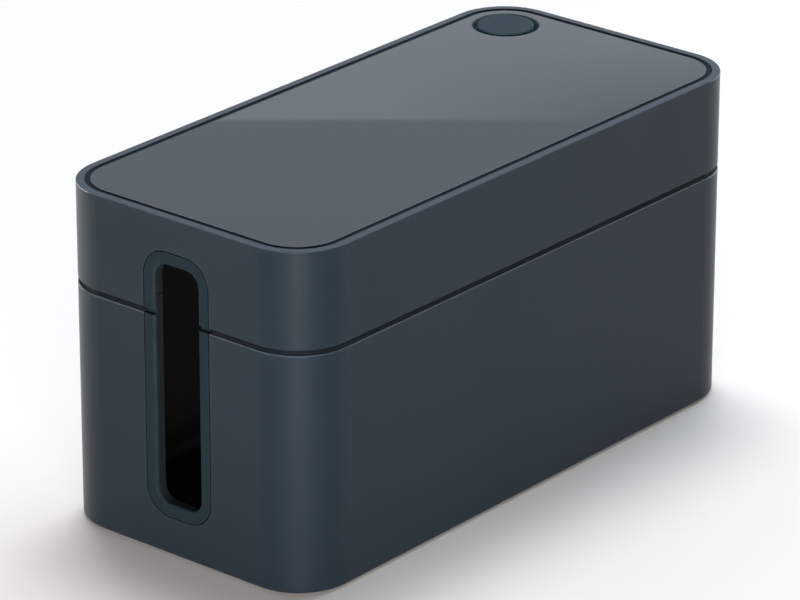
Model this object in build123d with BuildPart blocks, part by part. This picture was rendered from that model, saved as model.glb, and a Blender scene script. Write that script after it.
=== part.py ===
from build123d import *

import os

# Cable management box: a lidded tub that hides a three-way power strip and its leads.
#
# Two moulded shells meet at an open shadow gap. Each end has a tall rounded slot, part in
# the tub and part in the lid, lined by soft collars that slide into moulded rails. The lid
# carries a flush top panel behind a reveal groove, and a round port closed by a soft plug.
#
# Frame: millimetres, origin on the table at the centre of the footprint, +Z up,
# +X along the length, the long sides facing -Y and +Y.

os.makedirs("parts", exist_ok=True)

# ---------------------------------------------------------------- driving dimensions
LENGTH = 246.0
WIDTH = 116.0
HEIGHT = 127.5
CORNER_R = 21.25  # plan radius of the outer corners

# tub
FOOT_PROUD = 0.5
TUB_Z0 = FOOT_PROUD
FLOOR_T = 3.0
WALL = 3.0
SHOULDER_Z = 89.75  # where the tub's outer wall ends
BOTTOM_FILLET = 1.5
SHOULDER_FILLET = 0.45
CAVITY_FILLET = 2.0

# shadow gap and locating lip
SEAM_GAP = 2.0
LIP_RECESS = 1.7
LIP_TOP = 96.45
REBATE_TOP = 96.5
SKIRT_T = 1.3
PAD_L, PAD_PROUD, PAD_Z0 = 14.0, 0.3, 93.1  # friction pads on the lip

# lid
LID_Z0 = SHOULDER_Z + SEAM_GAP
RIM_W = 3.0
GROOVE_W = 2.0
GROOVE_DEPTH = 0.6
POCKET_CLEAR = 0.12  # between the panel's edge and its pocket
PANEL_T = 2.5
DECK_TOP = HEIGHT - PANEL_T
DECK_T = 2.4
DECK_BOTTOM = DECK_TOP - DECK_T
LID_TOP_FILLET = 0.4
LID_FOOT_FILLET = 0.2
RIM_INNER_FILLET = 0.2
PANEL_FILLET = 0.3
RIB_T, RIB_H = 1.4, 3.0

# port, concentric with one corner of the lid
PORT_X = LENGTH / 2 - CORNER_R
PORT_Y = WIDTH / 2 - CORNER_R
PORT_R = 12.45
WELL_WALL = 2.1
WELL_LEDGE_TOP = 119.5
WELL_LEDGE_T = 1.8
LEDGE_BORE_R = 8.6

# plug
PLUG_R = 10.6
PLUG_TOP = HEIGHT + 0.4
PLUG_EDGE_R = 0.4
PLUG_FOOT_R = 12.2
PLUG_FOOT_Z = WELL_LEDGE_TOP + 0.05
PLUG_FOOT_T = 1.8
PLUG_STEM_R = 8.3
PLUG_BEAD_R = 8.52
PLUG_BOTTOM = 115.1
PLUG_BORE_R = 6.4
PLUG_TOP_T = 2.6

# panel stakes
STAKE_R = 1.5
STAKE_HOLE_R = 1.6
STAKE_HEAD_R = 2.4
STAKE_HEAD_T = 1.0
STAKES = [
    (-106.0, -41.0),
    (-106.0, 41.0),
    (-36.0, -41.0),
    (-36.0, 41.0),
    (36.0, -41.0),
    (36.0, 41.0),
    (106.0, -41.0),
    (76.0, 41.0),
]

# end slots and collars
SLOT_MID_Z = 64.9
NOTCH_W, NOTCH_H, NOTCH_R = 30.0, 100.0, 10.5
OPEN_W, OPEN_H, OPEN_R = 20.0, 90.0, 5.6
COLLAR_GAP = 0.32
COLLAR_DEPTH = 4.5
COLLAR_FACE_R = 0.15
COLLAR_MOUTH_R = 1.0
COLLAR_BACK_R = 0.3
FLANGE_SPREAD = 2.0
RAIL_CLEAR = 0.15
RAIL_T = 1.4
RAIL_W = NOTCH_W + 2 * (FLANGE_SPREAD + RAIL_CLEAR + 1.5)
TUB_RAIL_Z = (11.4, 87.6)
LID_RAIL_Z = (97.1, 120.1)
TONGUE_DEPTH = LIP_RECESS  # the lower collar stands up behind the shadow gap
TONGUE_TOP = 96.8
TONGUE_CLEAR = 0.3

# feet
FOOT_R = 7.0
FOOT_RECESS = 1.2
FOOT_X, FOOT_Y = 98.0, 36.0


def end_plane(side, depth=0.0):
    """Plane parallel to an end face, depth inside it: local x across the box, local y up."""
    return Plane(
        origin=(side * (LENGTH / 2 - depth), 0, 0),
        x_dir=(0, -side, 0),
        z_dir=(-side, 0, 0),
    )


def rail_block(side, z_low, z_high):
    """Thickens the inside of an end wall where the collar's rails are."""
    with BuildSketch(end_plane(side, WALL)) as block:
        with Locations((0, (z_low + z_high) / 2)):
            Rectangle(RAIL_W, z_high - z_low)
    extrude(block.sketch, amount=COLLAR_DEPTH - WALL + RAIL_CLEAR + RAIL_T)


def cut_notch(side):
    """Cuts the collar's pocket behind an end wall, and the notch through it."""
    with BuildSketch(end_plane(side, WALL)) as pocket:
        with Locations((0, SLOT_MID_Z)):
            RectangleRounded(
                NOTCH_W + 2 * (FLANGE_SPREAD + RAIL_CLEAR),
                NOTCH_H + 2 * (FLANGE_SPREAD + RAIL_CLEAR),
                NOTCH_R + FLANGE_SPREAD,
            )
    extrude(
        pocket.sketch, amount=COLLAR_DEPTH - WALL + RAIL_CLEAR, mode=Mode.SUBTRACT
    )
    with BuildSketch(end_plane(side, -2)) as notch:
        with Locations((0, SLOT_MID_Z)):
            RectangleRounded(NOTCH_W, NOTCH_H, NOTCH_R)
    extrude(notch.sketch, amount=14, mode=Mode.SUBTRACT)


# ---------------------------------------------------------------- tub
with BuildPart() as base_tub:
    with BuildSketch(Plane.XY.offset(TUB_Z0)):
        RectangleRounded(LENGTH, WIDTH, CORNER_R)
    extrude(amount=SHOULDER_Z - TUB_Z0)
    fillet(base_tub.faces().sort_by(Axis.Z)[0].edges(), BOTTOM_FILLET)
    fillet(base_tub.faces().sort_by(Axis.Z)[-1].edges(), SHOULDER_FILLET)
    # locating lip, set back from the outer wall
    with BuildSketch(Plane.XY.offset(SHOULDER_Z - 1.0)):
        RectangleRounded(
            LENGTH - 2 * LIP_RECESS, WIDTH - 2 * LIP_RECESS, CORNER_R - LIP_RECESS
        )
    extrude(amount=LIP_TOP - SHOULDER_Z + 1.0)
    chamfer(base_tub.faces().sort_by(Axis.Z)[-1].edges(), 0.4)
    # cavity
    with BuildSketch(Plane.XY.offset(TUB_Z0 + FLOOR_T)):
        RectangleRounded(LENGTH - 2 * WALL, WIDTH - 2 * WALL, CORNER_R - WALL)
    extrude(amount=LIP_TOP, mode=Mode.SUBTRACT)
    cavity_floor = (
        base_tub.faces()
        .filter_by(Plane.XY)
        .filter_by(lambda f: abs(f.center().Z - TUB_Z0 - FLOOR_T) < 1e-3)
    )
    fillet(cavity_floor.edges(), CAVITY_FILLET)
    # friction pads on the lip's long sides
    for sy in (-1, 1):
        with BuildSketch(Plane.XY.offset(PAD_Z0)):
            with Locations(
                (-62.0, sy * (WIDTH / 2 - LIP_RECESS - 0.2)),
                (62.0, sy * (WIDTH / 2 - LIP_RECESS - 0.2)),
            ):
                Rectangle(PAD_L, 2 * (0.2 + PAD_PROUD))
        extrude(amount=1.8)
    # end notches with their collar rails
    for side in (-1, 1):
        rail_block(side, *TUB_RAIL_Z)
        cut_notch(side)
    # recesses for the feet
    with BuildSketch(Plane.XY.offset(TUB_Z0)):
        with GridLocations(2 * FOOT_X, 2 * FOOT_Y, 2, 2):
            Circle(FOOT_R + 0.15)
    extrude(amount=FOOT_RECESS, mode=Mode.SUBTRACT)
base_tub.part.label = "base_tub"
export_step(base_tub.part, "parts/base_tub.step")

# ---------------------------------------------------------------- lid
with BuildPart() as lid_shell:
    with BuildSketch(Plane.XY.offset(LID_Z0)):
        RectangleRounded(LENGTH, WIDTH, CORNER_R)
    extrude(amount=HEIGHT - LID_Z0)
    fillet(lid_shell.faces().sort_by(Axis.Z)[-1].edges(), LID_TOP_FILLET)
    fillet(lid_shell.faces().sort_by(Axis.Z)[0].edges(), LID_FOOT_FILLET)
    # shallow reveal groove, and the deeper pocket that takes the top panel
    with BuildSketch(Plane.XY.offset(HEIGHT - GROOVE_DEPTH)):
        RectangleRounded(LENGTH - 2 * RIM_W, WIDTH - 2 * RIM_W, CORNER_R - RIM_W)
    extrude(amount=GROOVE_DEPTH + 2, mode=Mode.SUBTRACT)
    with BuildSketch(Plane.XY.offset(DECK_TOP)):
        pocket_inset = RIM_W + GROOVE_W - POCKET_CLEAR
        RectangleRounded(
            LENGTH - 2 * pocket_inset, WIDTH - 2 * pocket_inset, CORNER_R - pocket_inset
        )
    extrude(amount=PANEL_T + 2, mode=Mode.SUBTRACT)
    rim_face = (
        lid_shell.faces()
        .filter_by(Plane.XY)
        .filter_by(lambda f: abs(f.center().Z - HEIGHT) < 1e-3)
        .sort_by(SortBy.AREA)[-1]
    )
    fillet(rim_face.inner_wires()[0].edges(), RIM_INNER_FILLET)
    # inside of the lid, up to the deck
    with BuildSketch(Plane.XY.offset(REBATE_TOP)):
        RectangleRounded(LENGTH - 2 * WALL, WIDTH - 2 * WALL, CORNER_R - WALL)
    extrude(amount=DECK_BOTTOM - REBATE_TOP, mode=Mode.SUBTRACT)
    deck_under = (
        lid_shell.faces()
        .filter_by(Plane.XY)
        .filter_by(lambda f: abs(f.center().Z - DECK_BOTTOM) < 1e-3)
    )
    fillet(deck_under.edges(), 1.5)
    # thin skirt that drops outside the tub's lip
    with BuildSketch(Plane.XY.offset(LID_Z0 - 1)):
        RectangleRounded(LENGTH - 2 * SKIRT_T, WIDTH - 2 * SKIRT_T, CORNER_R - SKIRT_T)
    extrude(amount=REBATE_TOP - LID_Z0 + 1, mode=Mode.SUBTRACT)
    # stiffening ribs under the deck
    with BuildSketch(Plane.XY.offset(DECK_BOTTOM - RIB_H)):
        with Locations((-71.0, 0), (0, 0), (56.0, 0)):
            Rectangle(RIB_T, WIDTH - 2 * WALL)
        Rectangle(LENGTH - 2 * WALL, RIB_T)
    extrude(amount=RIB_H + 0.5)
    # port well
    with BuildSketch(Plane.XY.offset(WELL_LEDGE_TOP - WELL_LEDGE_T)):
        with Locations((PORT_X, PORT_Y)):
            Circle(PORT_R + WELL_WALL)
    extrude(amount=DECK_TOP - WELL_LEDGE_TOP + WELL_LEDGE_T)
    with BuildSketch(Plane.XY.offset(WELL_LEDGE_TOP)):
        with Locations((PORT_X, PORT_Y)):
            Circle(PORT_R)
    extrude(amount=20, mode=Mode.SUBTRACT)
    with BuildSketch(Plane.XY.offset(110)):
        with Locations((PORT_X, PORT_Y)):
            Circle(LEDGE_BORE_R)
    extrude(amount=15, mode=Mode.SUBTRACT)
    # stake holes
    with BuildSketch(Plane.XY.offset(DECK_BOTTOM - 5)):
        with Locations(*STAKES):
            Circle(STAKE_HOLE_R)
    extrude(amount=12, mode=Mode.SUBTRACT)
    # end notches with their collar rails
    for side in (-1, 1):
        rail_block(side, *LID_RAIL_Z)
        cut_notch(side)
lid_shell.part.label = "lid_shell"
export_step(lid_shell.part, "parts/lid_shell.step")

# ---------------------------------------------------------------- top panel
with BuildPart() as lid_top_panel:
    panel_inset = RIM_W + GROOVE_W
    with BuildSketch(Plane.XY.offset(DECK_TOP)):
        RectangleRounded(
            LENGTH - 2 * panel_inset, WIDTH - 2 * panel_inset, CORNER_R - panel_inset
        )
    extrude(amount=PANEL_T)
    fillet(lid_top_panel.faces().sort_by(Axis.Z)[-1].edges(), PANEL_FILLET)
    with BuildSketch(Plane.XY.offset(DECK_TOP)):
        with Locations((PORT_X, PORT_Y)):
            Circle(PORT_R)
    extrude(amount=PANEL_T, mode=Mode.SUBTRACT)
    port_rim = (
        lid_top_panel.edges()
        .filter_by(GeomType.CIRCLE)
        .filter_by(lambda e: abs(e.radius - PORT_R) < 1e-3)
        .sort_by(Axis.Z)[-1]
    )
    fillet(port_rim, 0.35)
    # staked pins that hold the panel on the deck
    with BuildSketch(Plane.XY.offset(DECK_BOTTOM - STAKE_HEAD_T)):
        with Locations(*STAKES):
            Circle(STAKE_R)
    extrude(amount=DECK_T + STAKE_HEAD_T)
    with BuildSketch(Plane.XY.offset(DECK_BOTTOM - STAKE_HEAD_T)):
        with Locations(*STAKES):
            Circle(STAKE_HEAD_R)
    extrude(amount=STAKE_HEAD_T)
    fillet(
        lid_top_panel.edges()
        .filter_by(GeomType.CIRCLE)
        .filter_by(
            lambda e: abs(e.radius - STAKE_HEAD_R) < 1e-3
            and e.center().Z < DECK_BOTTOM - 0.5
        ),
        0.5,
    )
lid_top_panel.part.label = "lid_top_panel"
export_step(lid_top_panel.part, "parts/lid_top_panel.step")

# ---------------------------------------------------------------- port plug
with BuildPart() as port_plug:
    with BuildSketch(
        Plane(origin=(PORT_X, PORT_Y, 0), x_dir=(1, 0, 0), z_dir=(0, -1, 0))
    ):
        with BuildLine():
            Polyline(
                (0, PLUG_TOP),
                (PLUG_R, PLUG_TOP),
                (PLUG_R, PLUG_FOOT_Z + PLUG_FOOT_T),
                (PLUG_FOOT_R, PLUG_FOOT_Z + PLUG_FOOT_T),
                (PLUG_FOOT_R, PLUG_FOOT_Z),
                (PLUG_STEM_R, PLUG_FOOT_Z),
                (PLUG_STEM_R, PLUG_BOTTOM + 2.0),
                (PLUG_BEAD_R, PLUG_BOTTOM + 1.6),
                (PLUG_BEAD_R, PLUG_BOTTOM + 0.8),
                (PLUG_STEM_R - 0.5, PLUG_BOTTOM),
                (PLUG_BORE_R, PLUG_BOTTOM),
                (PLUG_BORE_R, PLUG_TOP - PLUG_TOP_T),
                (0, PLUG_TOP - PLUG_TOP_T),
                close=True,
            )
        make_face()
    revolve(axis=Axis((PORT_X, PORT_Y, 0), (0, 0, 1)))
    top_edge = (
        port_plug.edges()
        .filter_by(GeomType.CIRCLE)
        .filter_by(
            lambda e: abs(e.radius - PLUG_R) < 1e-3 and e.center().Z > HEIGHT - 1
        )
    )
    fillet(top_edge, PLUG_EDGE_R)
port_plug.part.label = "port_plug"
export_step(port_plug.part, "parts/port_plug.step")


# ---------------------------------------------------------------- collars
def whole_collar(collar, side):
    """The full ring around an end slot, with its flange behind the wall."""
    face_end = 0 if side < 0 else -1
    back_end = -1 if side < 0 else 0
    with BuildSketch(end_plane(side)) as ring:
        with Locations((0, SLOT_MID_Z)):
            RectangleRounded(
                NOTCH_W - 2 * COLLAR_GAP,
                NOTCH_H - 2 * COLLAR_GAP,
                NOTCH_R - COLLAR_GAP,
            )
    extrude(ring.sketch, amount=WALL)
    face = collar.faces().filter_by(Axis.X).sort_by(Axis.X)[face_end]
    fillet(face.edges(), COLLAR_FACE_R)
    with BuildSketch(end_plane(side, WALL)) as flange:
        with Locations((0, SLOT_MID_Z)):
            RectangleRounded(
                NOTCH_W + 2 * FLANGE_SPREAD,
                NOTCH_H + 2 * FLANGE_SPREAD,
                NOTCH_R + FLANGE_SPREAD,
            )
    extrude(flange.sketch, amount=COLLAR_DEPTH - WALL)
    with BuildSketch(end_plane(side)) as slot:
        with Locations((0, SLOT_MID_Z)):
            RectangleRounded(OPEN_W, OPEN_H, OPEN_R)
    extrude(slot.sketch, amount=COLLAR_DEPTH, mode=Mode.SUBTRACT)
    mouth = collar.faces().filter_by(Axis.X).sort_by(Axis.X)[face_end]
    fillet(mouth.inner_wires()[0].edges(), COLLAR_MOUTH_R)
    back = collar.faces().filter_by(Axis.X).sort_by(Axis.X)[back_end]
    fillet(back.inner_wires()[0].edges(), COLLAR_BACK_R)


def cut_band(side, depth_from, depth_to, z_from, z_to):
    """Removes the collar between two depths and two heights."""
    with BuildSketch(end_plane(side, depth_from)) as band:
        with Locations((0, (z_from + z_to) / 2)):
            Rectangle(60, z_to - z_from)
    extrude(band.sketch, amount=depth_to - depth_from, mode=Mode.SUBTRACT)


def keep_lower(side):
    """Leaves the U that stands in the tub, with a tongue behind the shadow gap."""
    cut_band(side, -1, TONGUE_DEPTH, SHOULDER_Z, 130)
    cut_band(side, TONGUE_DEPTH - 0.5, COLLAR_DEPTH + 1, TONGUE_TOP, 130)


def keep_upper(side):
    """Leaves the arch that hangs in the lid."""
    cut_band(side, -1, COLLAR_DEPTH + 1, 0, LID_Z0)
    cut_band(side, TONGUE_DEPTH - TONGUE_CLEAR, COLLAR_DEPTH + 1, 0, LID_RAIL_Z[0])


with BuildPart() as lower_collar_left:
    whole_collar(lower_collar_left, -1)
    keep_lower(-1)
lower_collar_left.part.label = "lower_collar_left"
export_step(lower_collar_left.part, "parts/lower_collar_left.step")

with BuildPart() as lower_collar_right:
    whole_collar(lower_collar_right, 1)
    keep_lower(1)
lower_collar_right.part.label = "lower_collar_right"
export_step(lower_collar_right.part, "parts/lower_collar_right.step")

with BuildPart() as upper_collar_left:
    whole_collar(upper_collar_left, -1)
    keep_upper(-1)
upper_collar_left.part.label = "upper_collar_left"
export_step(upper_collar_left.part, "parts/upper_collar_left.step")

with BuildPart() as upper_collar_right:
    whole_collar(upper_collar_right, 1)
    keep_upper(1)
upper_collar_right.part.label = "upper_collar_right"
export_step(upper_collar_right.part, "parts/upper_collar_right.step")


# ---------------------------------------------------------------- feet
def foot_pad(foot, x, y):
    """A round rubber pad, part sunk in its recess under the tub."""
    with BuildSketch(Plane.XY) as pad:
        with Locations((x, y)):
            Circle(FOOT_R)
    extrude(pad.sketch, amount=FOOT_PROUD + FOOT_RECESS)
    fillet(foot.faces().sort_by(Axis.Z)[0].edges(), 0.4)


with BuildPart() as foot_front_left:
    foot_pad(foot_front_left, -FOOT_X, -FOOT_Y)
foot_front_left.part.label = "foot_front_left"
export_step(foot_front_left.part, "parts/foot_front_left.step")

with BuildPart() as foot_rear_left:
    foot_pad(foot_rear_left, -FOOT_X, FOOT_Y)
foot_rear_left.part.label = "foot_rear_left"
export_step(foot_rear_left.part, "parts/foot_rear_left.step")

with BuildPart() as foot_front_right:
    foot_pad(foot_front_right, FOOT_X, -FOOT_Y)
foot_front_right.part.label = "foot_front_right"
export_step(foot_front_right.part, "parts/foot_front_right.step")

with BuildPart() as foot_rear_right:
    foot_pad(foot_rear_right, FOOT_X, FOOT_Y)
foot_rear_right.part.label = "foot_rear_right"
export_step(foot_rear_right.part, "parts/foot_rear_right.step")
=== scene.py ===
import math

import bpy
from mathutils import Matrix, Vector

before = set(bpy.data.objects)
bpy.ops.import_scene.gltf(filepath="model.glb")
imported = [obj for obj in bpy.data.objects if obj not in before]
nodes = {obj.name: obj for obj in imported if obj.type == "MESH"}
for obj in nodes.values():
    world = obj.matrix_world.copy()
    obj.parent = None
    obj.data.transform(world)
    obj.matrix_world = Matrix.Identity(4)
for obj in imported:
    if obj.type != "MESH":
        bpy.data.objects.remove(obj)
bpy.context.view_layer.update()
scene = bpy.context.scene

# Driving dimensions, in metres, as the parts have them.
LENGTH, WIDTH, HEIGHT, CORNER_R = 0.246, 0.116, 0.1275, 0.02125
TUB_Z0, SHOULDER_Z, LID_Z0 = 0.0005, 0.08975, 0.09175
RIM_W, GROOVE_W, GROOVE_DEPTH = 0.003, 0.002, 0.0006
PORT_X, PORT_Y, PORT_R = 0.10175, 0.03675, 0.01245
SLOT_MID_Z = 0.0649
NOTCH = (0.030, 0.100, 0.0105)
OPENING = (0.020, 0.090, 0.0056)
PLUG_R, PLUG_TOP = 0.0106, 0.1279

# ------------------------------------------------------------------ camera
TARGET = Vector((0.0, 0.0, 0.058544))
DIST = 1.8278
AZ = math.radians(-50.238)
EL = math.radians(22.871)
ROLL = math.radians(0.141)
back = Vector((math.sin(AZ) * math.cos(EL), -math.cos(AZ) * math.cos(EL), math.sin(EL)))
fwd = -back
right = fwd.cross(Vector((0, 0, 1))).normalized()
up = right.cross(fwd)
r2 = right * math.cos(ROLL) + up * math.sin(ROLL)
u2 = up * math.cos(ROLL) - right * math.sin(ROLL)
cam_data = bpy.data.cameras.new("camera")
cam_data.sensor_width = 36.0
cam_data.lens = 227.756
cam_data.shift_x = -0.00816
cam_data.clip_start = 0.05
cam_data.clip_end = 50.0
cam = bpy.data.objects.new("camera", cam_data)
scene.collection.objects.link(cam)
cam.matrix_world = Matrix.Translation(TARGET + back * DIST) @ Matrix(
    (r2, u2, -fwd)
).transposed().to_4x4()
scene.camera = cam

# ------------------------------------------------------------------ light
scene.view_settings.view_transform = "Standard"
scene.view_settings.look = "None"
scene.view_settings.exposure = 0.0
scene.view_settings.gamma = 1.0

LIGHTS = {"dome": 0.02, "back": 0.66, "band": 0.355, "top": 2.8, "top_rear": 13.1, "right": 3.8, "rear": 0.8, "key": 28.4, "card_left": 8.0, "card_right": 2.5, "card_flank": 195.0, "card_flank_right": 58.0, "card_front": 112.0}
BAND_TOP = 20.831  # degrees above the horizon


class Tree:
    """Short forms for building a node tree."""

    def __init__(self, tree):
        self.tree = tree

    def add(self, kind, **props):
        node = self.tree.nodes.new(kind)
        for key, value in props.items():
            setattr(node, key, value)
        return node

    def put(self, socket, value):
        if hasattr(value, "is_output"):
            self.tree.links.new(value, socket)
        elif value is not None:
            socket.default_value = value

    def math(self, op, a, b=None, c=None, clamp=False):
        node = self.add("ShaderNodeMath", operation=op, use_clamp=clamp)
        for socket, value in zip(node.inputs, (a, b, c)):
            self.put(socket, value)
        return node.outputs[0]

    def ramp(self, value, low, high, to_low=0.0, to_high=1.0, kind="SMOOTHSTEP"):
        node = self.add("ShaderNodeMapRange", interpolation_type=kind, clamp=True) if kind == "LINEAR" else self.add("ShaderNodeMapRange", interpolation_type=kind)
        for socket, v in zip(node.inputs[:5], (value, low, high, to_low, to_high)):
            self.put(socket, v)
        return node.outputs[0]

    def noise(self, vector, scale, detail=2.0, rough=0.5, distortion=0.0):
        node = self.add("ShaderNodeTexNoise")
        self.put(node.inputs["Vector"], vector)
        node.inputs["Scale"].default_value = scale
        node.inputs["Detail"].default_value = detail
        node.inputs["Roughness"].default_value = rough
        node.inputs["Distortion"].default_value = distortion
        return node.outputs[0]

    def mix(self, factor, a, b, blend="MIX"):
        node = self.add("ShaderNodeMix", data_type="RGBA", blend_type=blend)
        self.put(node.inputs[0], factor)
        self.put(node.inputs[6], a)
        self.put(node.inputs[7], b)
        return node.outputs[2]

    def length2(self, a, b):
        return self.math("SQRT", self.math("ADD", self.math("MULTIPLY", a, a), self.math("MULTIPLY", b, b)))

    def smallest(self, values):
        out = values[0]
        for value in values[1:]:
            out = self.math("MINIMUM", out, value)
        return out

    def largest(self, values):
        out = values[0]
        for value in values[1:]:
            out = self.math("MAXIMUM", out, value)
        return out

    def rounded_box(self, a, b, width, height, radius):
        """Signed distance to a rounded rectangle centred on zero, below zero inside it."""
        qa = self.math("SUBTRACT", self.math("ABSOLUTE", a), width / 2 - radius)
        qb = self.math("SUBTRACT", self.math("ABSOLUTE", b), height / 2 - radius)
        outside = self.length2(self.math("MAXIMUM", qa, 0.0), self.math("MAXIMUM", qb, 0.0))
        inside = self.math("MINIMUM", self.math("MAXIMUM", qa, qb), 0.0)
        return self.math("SUBTRACT", self.math("ADD", outside, inside), radius)


# the studio: a pale dome with a brighter band low behind the box, whose upper edge the
# glossy panel shows as a line
world = bpy.data.worlds.new("studio")
world.use_nodes = True
wt = Tree(world.node_tree)
direction = wt.add("ShaderNodeTexCoord").outputs["Generated"]
sep = wt.add("ShaderNodeSeparateXYZ")
wt.put(sep.inputs[0], direction)
dx, dy, dz = sep.outputs
side = wt.math("ADD", wt.math("MULTIPLY", dx, float(right.x)), wt.math("MULTIPLY", dy, float(right.y)))
away = wt.math("ADD", wt.math("MULTIPLY", dx, float(fwd.normalized().x / math.cos(EL))), wt.math("MULTIPLY", dy, float(fwd.normalized().y / math.cos(EL))))
below = wt.ramp(dz, math.sin(math.radians(BAND_TOP - 0.003)), math.sin(math.radians(BAND_TOP + 0.003)), 1.0, 0.0)
sector = wt.ramp(away, 0.1, 0.6, 0.0, 1.0)
band = wt.math("MULTIPLY", below, sector)
# the band dims softly towards its right-hand upper corner
across = wt.math("DIVIDE", side, math.tan(math.radians(2.4)))
height = wt.math("DIVIDE", wt.math("SUBTRACT", dz, math.sin(math.radians(BAND_TOP - 0.9))), math.sin(math.radians(BAND_TOP)) - math.sin(math.radians(BAND_TOP - 0.9)))
dim = wt.math("MULTIPLY", wt.math("MAXIMUM", wt.math("ADD", across, 0.1), 0.0), wt.math("MAXIMUM", wt.math("ADD", height, 0.05), 0.0))
dim = wt.math("SUBTRACT", 1.0, wt.math("MULTIPLY", dim, 0.86), clamp=True)
band = wt.math("MULTIPLY", band, dim)
rear_half = wt.ramp(away, -0.2, 0.8, 0.0, 1.0)
strength = wt.math("ADD", wt.math("MULTIPLY", band, LIGHTS["band"]), LIGHTS["dome"])
strength = wt.math("ADD", strength, wt.math("MULTIPLY", rear_half, LIGHTS["back"]))
background = world.node_tree.nodes["Background"]
background.inputs["Color"].default_value = (0.95, 1.0, 1.05, 1)
wt.put(background.inputs["Strength"], strength)
scene.world = world


# the low cards are there for the satin shells only: the glossy panel would mirror them
shells = bpy.data.collections.new("shells")
for name in ("base_tub", "lid_shell"):
    shells.objects.link(nodes[name])


def softbox(name, pos, aim, width, height, radiance, colour=(1, 1, 1), gloss_only=False, only=None):
    """A rectangular area light of a given brightness, aimed at a point."""
    if radiance <= 0:
        return
    data = bpy.data.lights.new(name, "AREA")
    data.shape = "RECTANGLE"
    data.size, data.size_y = width, height
    data.energy = radiance * math.pi * width * height
    data.color = colour
    obj = bpy.data.objects.new(name, data)
    scene.collection.objects.link(obj)
    obj.location = pos
    obj.rotation_euler = (Vector(aim) - Vector(pos)).to_track_quat("-Z", "Y").to_euler()
    if gloss_only:
        obj.visible_diffuse = False
    if only is not None:
        obj.light_linking.receiver_collection = only


softbox("top", (0.45, 0.0, 1.85), (0, 0, 0.06), 0.65, 0.65, LIGHTS["top"])
softbox("top_rear", (0.40, 0.40, 1.85), (0, 0, 0.06), 0.65, 0.65, LIGHTS["top_rear"], (1.03, 1.005, 0.99))
softbox("right", (1.5, -0.15, 1.5), (0, 0, 0.06), 1.0, 1.0, LIGHTS["right"], (0.78, 0.95, 1.0))
softbox("rear", (0.5, 1.5, 1.6), (0, 0, 0.06), 1.0, 1.0, LIGHTS["rear"])
softbox("key", (-0.97, -0.71, 0.155), (-0.1, -0.04, 0.06), 0.75, 0.25, LIGHTS["key"], (1.07, 1.0, 0.91))
# cards that only show as highlights on the rounded edges
softbox("card_left", (-0.75, 1.2, 1.45), (0, 0, 0.09), 0.9, 0.9, LIGHTS["card_left"], (1, 1, 1), True)
softbox("card_right", (1.45, -0.7, 1.25), (0, 0, 0.09), 0.9, 0.9, LIGHTS["card_right"], (1, 1, 1), True)
softbox("card_flank", (-0.45, 1.43, 0.14), (0, 0, 0.06), 0.9, 0.26, LIGHTS["card_flank"], (1, 1, 1), True, shells)
softbox("card_flank_right", (1.42, -0.47, 0.14), (0, 0, 0.06), 0.9, 0.26, LIGHTS["card_flank_right"], (1, 1, 1), True, shells)
softbox("card_front", (-0.92, -0.77, 0.11), (0, 0, 0.05), 0.5, 0.22, LIGHTS["card_front"], (1, 1, 1), True, shells)

# ------------------------------------------------------------------ floor
mesh = bpy.data.meshes.new("floor")
mesh.from_pydata([(-6, -6, 0), (6, -6, 0), (6, 6, 0), (-6, 6, 0)], [], [(0, 1, 2, 3)])
floor = bpy.data.objects.new("floor", mesh)
scene.collection.objects.link(floor)
m = bpy.data.materials.new("floor")
m.use_nodes = True
ft = Tree(m.node_tree)
b = m.node_tree.nodes["Principled BSDF"]
pos = ft.add("ShaderNodeTexCoord").outputs["Object"]
ft.put(b.inputs["Base Color"], ft.mix(ft.noise(pos, 3.0, 3.0), (0.918, 0.911, 0.907, 1), (0.928, 0.921, 0.917, 1)))
b.inputs["Roughness"].default_value = 0.6
b.inputs["Specular IOR Level"].default_value = 0.2
floor.data.materials.append(m)


# ------------------------------------------------------------------ materials
def start(name, rough, specular, sheen=0.0):
    """An empty plastic or rubber, with its object coordinates split."""
    material = bpy.data.materials.new(name)
    material.use_nodes = True
    t = Tree(material.node_tree)
    bsdf = material.node_tree.nodes["Principled BSDF"]
    bsdf.inputs["Roughness"].default_value = rough
    bsdf.inputs["Specular IOR Level"].default_value = specular
    bsdf.inputs["Sheen Weight"].default_value = sheen
    bsdf.inputs["Sheen Roughness"].default_value = 0.45
    t.pos = t.add("ShaderNodeTexCoord").outputs["Object"]
    split = t.add("ShaderNodeSeparateXYZ")
    t.put(split.inputs[0], t.pos)
    t.x, t.y, t.z = split.outputs
    t.bsdf = bsdf
    return material, t


def bump(t, height, strength, distance, under=None):
    node = t.add("ShaderNodeBump")
    node.inputs["Strength"].default_value = strength
    node.inputs["Distance"].default_value = distance
    t.put(node.inputs["Height"], height)
    if under is not None:
        t.put(node.inputs["Normal"], under)
    return node.outputs[0]


def scaled(t, colour, factor):
    """A colour times a varying factor."""
    node = t.add("ShaderNodeVectorMath", operation="SCALE")
    node.inputs[0].default_value = colour
    t.put(node.inputs["Scale"], factor)
    return node.outputs[0]


SHELL = (0.0138, 0.0222, 0.0332)
PANEL = (0.0105, 0.0235, 0.0415)
COLLAR = (0.0130, 0.0222, 0.0310)
PLUG = (0.0312, 0.0535, 0.0685)
# the rim flat's colour is a painted reflection, lighter than the shell
RIM_PAINTED_REFLECTION = (0.0480, 0.0640, 0.0860)
# the inside's colour is a painted shade, much darker than the shell
INSIDE_PAINTED_SHADE = (0.0060, 0.0066, 0.0078)
# the slot's inner wall colour is a painted shade, darker and greyer than the collar
JAMB_PAINTED_SHADE = (0.0122, 0.0158, 0.0190)
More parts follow.
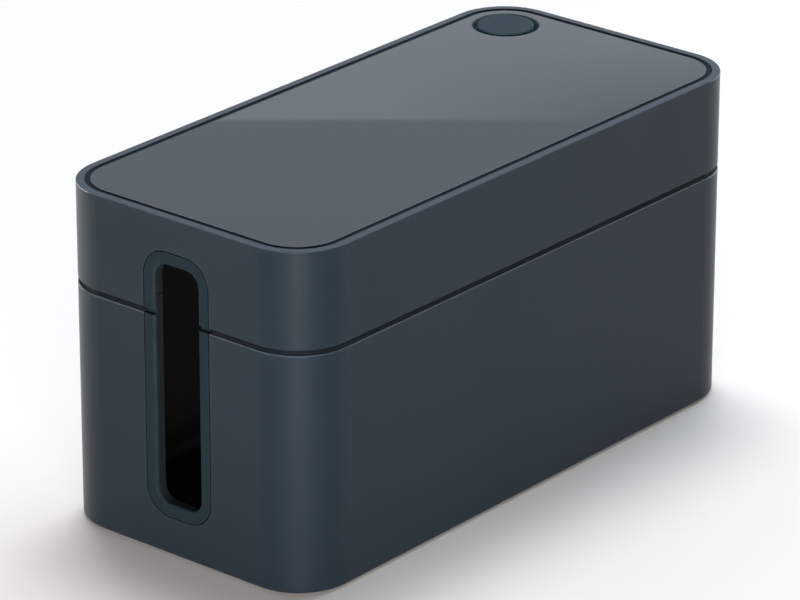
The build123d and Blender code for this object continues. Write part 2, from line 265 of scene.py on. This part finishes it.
# how much lighter or darker each painted place is than its wall: a painted highlight on the outer edges, painted light
# and painted shade in the recesses
EDGE_PAINTED_HIGHLIGHT_GAIN = 2.35
LIP_PAINTED_SHADE_GAIN, SHOULDER_PAINTED_LIGHT_GAIN, GROOVE_PAINTED_LIGHT_GAIN, BED_PAINTED_SHADE_GAIN, WELL_PAINTED_LIGHT_GAIN = 0.44, 2.9, 3.6, 0.85, 13.0


def make_shell():
    material, t = start("moulded_shell", 0.36, 0.05, 0.05)
    wall = t.rounded_box(t.x, t.y, LENGTH, WIDTH, CORNER_R)
    edges = [t.length2(wall, t.math("SUBTRACT", t.z, z)) for z in (TUB_Z0, SHOULDER_Z, LID_Z0, HEIGHT)]
    edges.append(t.length2(t.math("ADD", wall, RIM_W), t.math("SUBTRACT", t.z, HEIGHT)))
    slot = t.rounded_box(t.y, t.math("SUBTRACT", t.z, SLOT_MID_Z), *NOTCH)
    end = t.math("SUBTRACT", t.math("ABSOLUTE", t.x), LENGTH / 2)
    edges.append(t.length2(slot, end))
    edge = t.smallest(edges)
    patchy = t.noise(t.pos, 140.0, 3.0, 0.6)
    worn = t.math("MULTIPLY", t.ramp(edge, 0.0003, 0.0016, 1.0, 0.0), t.ramp(patchy, 0.42, 0.66))
    broad = t.noise(t.pos, 14.0, 3.0, 0.55)
    fleck = t.noise(t.pos, 1500.0, 2.0, 0.6)
    shade = t.math("ADD", t.ramp(broad, 0.3, 0.7, 0.965, 1.035, "LINEAR"), t.ramp(fleck, 0.3, 0.7, -0.05, 0.05, "LINEAR"))
    base = scaled(t, SHELL, shade)
    lighter = scaled(t, tuple(1.55 * c + 0.006 for c in SHELL), shade)
    coat = t.mix(t.math("MULTIPLY", worn, 0.30), base, lighter)
    rubbed = t.noise(t.pos, 38.0, 4.0, 0.6, 0.4)
    rough = t.math("ADD", t.ramp(rubbed, 0.3, 0.72, 0.335, 0.395, "LINEAR"), t.math("MULTIPLY", worn, -0.07))
    # the flat of the rim is rubbed smoother, and painted lighter as a painted reflection
    rim_flat_painted_reflection = t.math("MULTIPLY", t.ramp(t.z, HEIGHT - 0.00012, HEIGHT - 0.00002), t.ramp(wall, -0.0004 - RIM_W, -RIM_W))
    coat = t.mix(rim_flat_painted_reflection, coat, scaled(t, RIM_PAINTED_REFLECTION, shade))
    rough = t.math("SUBTRACT", rough, t.math("MULTIPLY", rim_flat_painted_reflection, 0.18))
    # the outer edges of the shoulder and the rim are painted lighter as a painted highlight, stronger low on the
    # shoulder
    turn = t.math("MULTIPLY", t.math("MAXIMUM", t.ramp(edges[1], 0.00028, 0.00050, 1.0, 0.0), t.ramp(edges[3], 0.00018, 0.00030, 1.0, 0.0)), t.ramp(patchy, 0.30, 0.55, 0.55, 1.0))
    coat = t.mix(turn, coat, scaled(t, tuple(EDGE_PAINTED_HIGHLIGHT_GAIN * c + 0.004 for c in SHELL), t.math("MULTIPLY", shade, t.ramp(t.z, 0.100, 0.110, 1.28, 1.0))))
    # recessed walls are painted lighter or darker than their wall: painted light on the shoulder flat in the seam, the
    # groove walls and the port well, painted shade on the lip wall and the groove floor
    inset = t.ramp(wall, -0.0005, -0.0009, 0.0, 1.0)
    seam = t.math("MULTIPLY", t.math("MULTIPLY", inset, t.ramp(wall, -0.0024, -0.0020)), t.math("MULTIPLY", t.ramp(t.z, SHOULDER_Z - 0.0008, SHOULDER_Z - 0.0003), t.ramp(t.z, 0.0965, 0.0970, 1.0, 0.0)))
    groove = t.math("MULTIPLY", t.math("MULTIPLY", t.ramp(wall, -RIM_W + 0.00014, -RIM_W + 0.00004, 0.0, 1.0), t.ramp(wall, -0.0056, -0.0052)), t.ramp(t.z, HEIGHT - 0.0001, HEIGHT - 0.0002, 0.0, 1.0))
    groove = t.math("MULTIPLY", groove, t.ramp(t.z, 0.118, 0.1182))
    well = t.math("MULTIPLY", t.ramp(t.length2(t.math("SUBTRACT", t.x, PORT_X), t.math("SUBTRACT", t.y, PORT_Y)), 0.0130, 0.0133, 1.0, 0.0), t.ramp(t.z, 0.1185, 0.1190))
    lip = t.math("MULTIPLY", seam, t.ramp(t.z, SHOULDER_Z + 0.00002, SHOULDER_Z + 0.00010))
    recess = t.largest([seam, groove, well])
    bed = t.math("MULTIPLY", groove, t.ramp(t.z, HEIGHT - GROOVE_DEPTH + 0.00004, HEIGHT - GROOVE_DEPTH + 0.00010, 1.0, 0.0))
    # each recess gets its painted light or painted shade here
    for mask, gain in ((seam, SHOULDER_PAINTED_LIGHT_GAIN), (lip, LIP_PAINTED_SHADE_GAIN), (groove, GROOVE_PAINTED_LIGHT_GAIN), (bed, BED_PAINTED_SHADE_GAIN), (well, WELL_PAINTED_LIGHT_GAIN)):
        coat = t.mix(mask, coat, scaled(t, tuple(gain * c for c in SHELL), shade))
    # the inside is painted near black as a painted shade, and its floor is painted lighter as a painted light
    inside_painted_shade = t.math("MULTIPLY", t.ramp(wall, -0.00294, -0.00284, 1.0, 0.0), t.math("MULTIPLY", t.ramp(t.z, 0.1180, 0.1185, 1.0, 0.0), t.ramp(t.z, 0.0030, 0.0034)))
    inside_floor_painted_light = t.ramp(t.z, 0.004, 0.010, 1.0, 0.0)
    coat = t.mix(inside_painted_shade, coat, scaled(t, INSIDE_PAINTED_SHADE, shade))
    coat = t.mix(inside_floor_painted_light, coat, t.mix(inside_painted_shade, coat, scaled(t, tuple(6.0 * c for c in INSIDE_PAINTED_SHADE), shade)))
    # the shell's wall in the gap around each collar is painted near black as a painted shade
    gap = t.math("MULTIPLY", t.ramp(t.math("ABSOLUTE", slot), 0.00006, 0.00014, 1.0, 0.0), t.ramp(end, -0.00022, -0.00008, 1.0, 0.0))
    coat = t.mix(gap, coat, scaled(t, tuple(0.12 * c for c in SHELL), shade))
    t.put(t.bsdf.inputs["Base Color"], coat)
    rough = t.math("ADD", rough, t.math("ADD", t.math("MULTIPLY", gap, 0.6), t.math("MULTIPLY", inside_painted_shade, 0.26)))
    rough = t.math("ADD", rough, t.math("MULTIPLY", recess, 0.10))
    rough = t.math("SUBTRACT", rough, t.math("MULTIPLY", lip, 0.24))
    rough = t.math("ADD", rough, t.math("MULTIPLY", bed, 0.45))
    rough = t.math("ADD", rough, t.math("MULTIPLY", turn, 0.36))
    t.put(t.bsdf.inputs["Roughness"], rough)
    grain = t.noise(t.pos, 4200.0, 3.0, 0.6)
    coarse = t.noise(t.pos, 1700.0, 2.0, 0.5)
    height = t.math("ADD", grain, t.math("MULTIPLY", coarse, 0.7))
    t.put(t.bsdf.inputs["Normal"], bump(t, height, 0.22, 0.00002))
    return material


def make_panel():
    material, t = start("gloss_panel", 0.07, 0.5)
    wall = t.rounded_box(t.x, t.y, LENGTH, WIDTH, CORNER_R)
    edge = t.length2(t.math("ADD", wall, RIM_W + GROOVE_W), t.math("SUBTRACT", t.z, HEIGHT))
    px = t.math("SUBTRACT", t.x, PORT_X)
    py = t.math("SUBTRACT", t.y, PORT_Y)
    hole = t.math("SUBTRACT", t.length2(px, py), PORT_R)
    rim = t.length2(hole, t.math("SUBTRACT", t.z, HEIGHT))
    edge = t.smallest([edge, rim])
    patchy = t.noise(t.pos, 160.0, 3.0, 0.6)
    worn = t.math("MULTIPLY", t.ramp(edge, 0.0002, 0.0011, 1.0, 0.0), t.ramp(patchy, 0.42, 0.66))
    broad = t.noise(t.pos, 11.0, 3.0, 0.5)
    shade = t.ramp(broad, 0.3, 0.7, 0.98, 1.02, "LINEAR")
    base = scaled(t, PANEL, shade)
    lighter = scaled(t, tuple(1.5 * c + 0.006 for c in PANEL), shade)
    cut = t.ramp(t.z, HEIGHT - 0.00032, HEIGHT - 0.00045, 0.0, 1.0)
    skin = t.mix(t.math("MULTIPLY", worn, 0.25), base, lighter)
    # the panel's side wall below the gloss is painted lighter as a painted light in the groove
    skin = t.mix(cut, skin, scaled(t, tuple(GROOVE_PAINTED_LIGHT_GAIN * c for c in PANEL), shade))
    # the port's wall in the panel is painted much lighter as a painted light
    port_wall_painted_light = t.math("MULTIPLY", t.ramp(hole, 0.0003, 0.0005, 1.0, 0.0), t.ramp(t.z, HEIGHT - 0.00018, HEIGHT - 0.00030, 0.0, 1.0))
    t.put(t.bsdf.inputs["Base Color"], t.mix(port_wall_painted_light, skin, scaled(t, (0.155, 0.205, 0.250), shade)))
    # hairline scuffs in two directions, and faint smears from wiping
    lines = []
    for turn, scale in ((0.5, 1.0), (-0.9, 1.3)):
        mapping = t.add("ShaderNodeMapping")
        t.put(mapping.inputs["Vector"], t.pos)
        mapping.inputs["Rotation"].default_value = (0, 0, turn)
        mapping.inputs["Scale"].default_value = (26.0 * scale, 2400.0 * scale, 1.0)
        lines.append(t.ramp(t.noise(mapping.outputs[0], 1.0, 2.0, 0.5), 0.66, 0.74))
    hair = t.largest(lines)
    smear = t.noise(t.pos, 30.0, 4.0, 0.62, 1.2)
    rough = t.math("ADD", t.ramp(smear, 0.35, 0.75, 0.008, 0.014, "LINEAR"), t.math("MULTIPLY", hair, 0.02))
    rough = t.math("ADD", rough, t.math("MULTIPLY", worn, 0.10))
    # the trimmed edge below the gloss is matt
    rough = t.math("ADD", rough, t.math("MULTIPLY", cut, 0.42))
    # the turned-over edges are duller than the flat
    rough = t.math("ADD", rough, t.math("MULTIPLY", t.ramp(edge, 0.00034, 0.00042, 1.0, 0.0), 0.42))
    rough = t.math("ADD", rough, t.math("MULTIPLY", t.ramp(rim, 0.00036, 0.00046, 1.0, 0.0), 0.15))
    t.put(t.bsdf.inputs["Roughness"], rough)
    orange = t.noise(t.pos, 520.0, 2.0, 0.5)
    height = t.math("SUBTRACT", t.math("MULTIPLY", orange, 0.6), t.math("MULTIPLY", hair, 0.25))
    t.put(t.bsdf.inputs["Normal"], bump(t, height, 0.003, 0.000003))
    return material


def make_trim(name, colour, rough, specular, edge_of, side_of=None, side_painted_light_shade_gain=1.0, inner_of=None):
    material, t = start(name, rough, specular)
    edge = edge_of(t)
    patchy = t.noise(t.pos, 210.0, 3.0, 0.6)
    worn = t.math("MULTIPLY", t.ramp(edge, 0.0002, 0.0014, 1.0, 0.0), t.ramp(patchy, 0.40, 0.64))
    broad = t.noise(t.pos, 45.0, 3.0, 0.55)
    bloom = t.noise(t.pos, 320.0, 4.0, 0.65)
    shade = t.math("ADD", t.ramp(broad, 0.3, 0.7, 0.95, 1.05, "LINEAR"), t.ramp(bloom, 0.3, 0.7, -0.04, 0.04, "LINEAR"))
    base = scaled(t, colour, shade)
    lighter = scaled(t, tuple(1.5 * c + 0.008 for c in colour), shade)
    skin = t.mix(t.math("MULTIPLY", worn, 0.35), base, lighter)
    # the side is painted by this gain: painted light on the plug's side, painted shade on the collar's side in its gap
    if side_of is not None:
        skin = t.mix(side_of(t), skin, scaled(t, tuple(side_painted_light_shade_gain * c for c in colour), shade))
    # the inner wall is painted darker and greyer as a painted shade
    if inner_of is not None:
        skin = t.mix(inner_of(t), skin, scaled(t, JAMB_PAINTED_SHADE, shade))
    t.put(t.bsdf.inputs["Base Color"], skin)
    rubbed = t.noise(t.pos, 90.0, 3.0, 0.6)
    r = t.math("ADD", t.ramp(rubbed, 0.3, 0.7, rough - 0.04, rough + 0.05, "LINEAR"), t.math("MULTIPLY", worn, -0.08))
    t.put(t.bsdf.inputs["Roughness"], r)
    stipple = t.add("ShaderNodeTexVoronoi", feature="SMOOTH_F1")
    t.put(stipple.inputs["Vector"], t.pos)
    stipple.inputs["Scale"].default_value = 2600.0
    fine = t.noise(t.pos, 5200.0, 2.0, 0.6)
    height = t.math("ADD", stipple.outputs["Distance"], t.math("MULTIPLY", fine, 0.6))
    t.put(t.bsdf.inputs["Normal"], bump(t, height, 0.3, 0.000025))
    return material


def collar_edge(t):
    z = t.math("SUBTRACT", t.z, SLOT_MID_Z)
    end = t.math("SUBTRACT", t.math("ABSOLUTE", t.x), LENGTH / 2)
    inner = t.length2(t.rounded_box(t.y, z, *OPENING), end)
    outer = t.length2(t.rounded_box(t.y, z, *NOTCH), end)
    return t.smallest([inner, outer])


def plug_edge(t):
    px = t.math("SUBTRACT", t.x, PORT_X)
    py = t.math("SUBTRACT", t.y, PORT_Y)
    return t.length2(t.math("SUBTRACT", t.length2(px, py), PLUG_R), t.math("SUBTRACT", t.z, PLUG_TOP))


def plug_side(t):
    """The plug's side and its foot, below the rounded top edge, which are painted lighter as a painted light."""
    return t.ramp(t.z, PLUG_TOP - 0.00035, PLUG_TOP - 0.00015, 1.0, 0.0)


def collar_side(t):
    """The collar's outer side, in the gap around it, which is painted near black as a painted shade."""
    z = t.math("SUBTRACT", t.z, SLOT_MID_Z)
    outside = t.ramp(t.rounded_box(t.y, z, *NOTCH), -0.00043, -0.00037)
    depth = t.math("SUBTRACT", LENGTH / 2, t.math("ABSOLUTE", t.x))
    return t.math("MULTIPLY", outside, t.ramp(depth, 0.00001, 0.00008))


def collar_jamb_painted_shade(t):
    """The collar's inner wall, painted darker and greyer as a painted shade."""
    z = t.math("SUBTRACT", t.z, SLOT_MID_Z)
    inner = t.ramp(t.rounded_box(t.y, z, *OPENING), 0.00006, 0.00030, 1.0, 0.0)
    depth = t.math("SUBTRACT", LENGTH / 2, t.math("ABSOLUTE", t.x))
    return t.math("MULTIPLY", inner, t.ramp(depth, 0.0004, 0.0022))


def make_foot():
    material, t = start("foot_rubber", 0.7, 0.3)
    broad = t.noise(t.pos, 160.0, 3.0, 0.6)
    scuff = t.math("MULTIPLY", t.ramp(t.z, 0.0000, 0.0004, 1.0, 0.0), t.ramp(t.noise(t.pos, 500.0, 3.0, 0.6), 0.42, 0.62))
    base = scaled(t, (0.020, 0.020, 0.022), t.ramp(broad, 0.3, 0.7, 0.85, 1.15, "LINEAR"))
    t.put(t.bsdf.inputs["Base Color"], t.mix(t.math("MULTIPLY", scuff, 0.5), base, (0.06, 0.06, 0.06, 1)))
    t.put(t.bsdf.inputs["Roughness"], t.ramp(broad, 0.3, 0.7, 0.62, 0.78, "LINEAR"))
    t.put(t.bsdf.inputs["Normal"], bump(t, t.noise(t.pos, 2400.0, 3.0, 0.6), 0.4, 0.00004))
    return material


shell = make_shell()
panel = make_panel()
collar = make_trim("collar_elastomer", COLLAR, 0.74, 0.04, collar_edge, collar_side, 0.12, collar_jamb_painted_shade)
plug = make_trim("plug_elastomer", PLUG, 0.68, 0.06, plug_edge, plug_side, 2.8)
foot = make_foot()
USES = {"base_tub": shell, "lid_shell": shell, "lid_top_panel": panel, "port_plug": plug}
for name, obj in nodes.items():
    obj.data.materials.clear()
    obj.data.materials.append(USES.get(name, collar if "collar" in name else foot))
